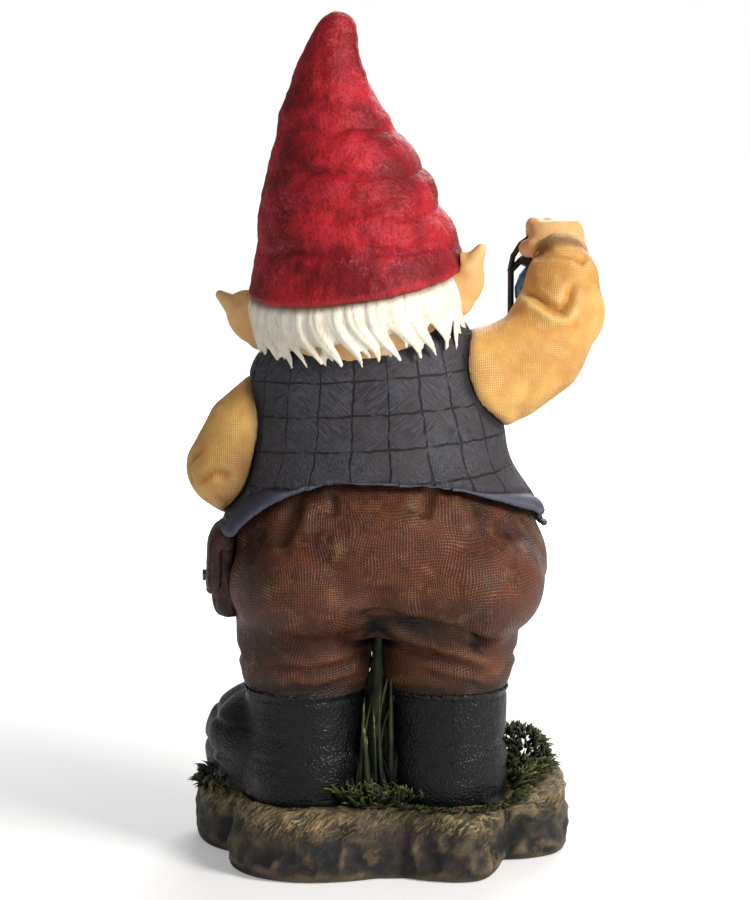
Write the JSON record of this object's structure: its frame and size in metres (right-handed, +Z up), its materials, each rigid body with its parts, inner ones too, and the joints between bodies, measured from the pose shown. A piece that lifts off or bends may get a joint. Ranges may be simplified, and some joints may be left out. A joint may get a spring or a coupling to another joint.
{
  "type": "garden gnome",
  "caption": "Standing garden gnome with a tall pointed hat, vest, trousers and boots on a stone base, holding up a small lantern in its right hand.",
  "frame": {"origin": "on the ground at the middle of the base's lower rim", "axes": "+Z up, the gnome faces -Y, its left side is +X"},
  "size_m": [0.1941, 0.1369, 0.3925],
  "materials": {
    "stone_paint": "painted and dry-brushed cast resin stones",
    "grass_paint": "painted cast resin grass",
    "boot_paint": "near-black pebbled leather look, satin",
    "trouser_paint": "brown woven-cloth look, dry-brushed with ochre",
    "vest_paint": "dark blue-grey brushed wool look with a black check",
    "shirt_paint": "golden yellow woven-cloth look",
    "skin_paint": "warm skin tone with a darker wash",
    "hat_paint": "deep red felt look with a dark wash",
    "hair_paint": "cream white with a brown wash",
    "leather_paint": "dark brown leather look",
    "brass_paint": "dull brass-coloured paint",
    "eye_paint": "gloss painted eyes",
    "lantern_black": "black satin paint",
    "lantern_glass": "blue gloss paint",
    "candle_paint": "cream wax look",
    "steel": "plain drawn steel pins"
  },
  "bodies": {
    "root": {"stone_base": "stone_paint", "base_plate": "stone_paint", "boot_left": "boot_paint", "boot_right": "boot_paint", "leg_rod_left": "steel", "leg_rod_right": "steel", "trousers": "trouser_paint", "grass_mat": "grass_paint", "grass_clump": "grass_paint", "shirt_body": "shirt_paint", "vest": "vest_paint", "sleeve_left": "shirt_paint", "cuff_left": "shirt_paint", "hand_left": "skin_paint", "arm_pin_left": "steel", "wrist_pin_left": "steel", "sleeve_right": "shirt_paint", "cuff_right": "shirt_paint", "hand_right": "skin_paint", "arm_pin_right": "steel", "wrist_pin_right": "steel", "lantern_base": "lantern_black", "lantern_globe": "lantern_glass", "lantern_cap": "lantern_black", "lantern_frame": "lantern_black", "lantern_bail": "lantern_black", "lantern_candle": "candle_paint", "head": "skin_paint", "eyes": "eye_paint", "neck_pin": "steel", "ear_pins": "steel", "hat": "hat_paint", "hair_fringe": "hair_paint", "ear_left": "skin_paint", "ear_right": "skin_paint", "beard": "hair_paint", "moustache": "hair_paint", "eyebrows": "hair_paint", "belt": "leather_paint", "belt_buckle": "brass_paint", "pouch_bag": "leather_paint", "pouch_flap": "leather_paint", "pouch_stud": "brass_paint", "pocket_flap": "trouser_paint", "vest_buttons": "brass_paint"}
  },
  "joints": []
}
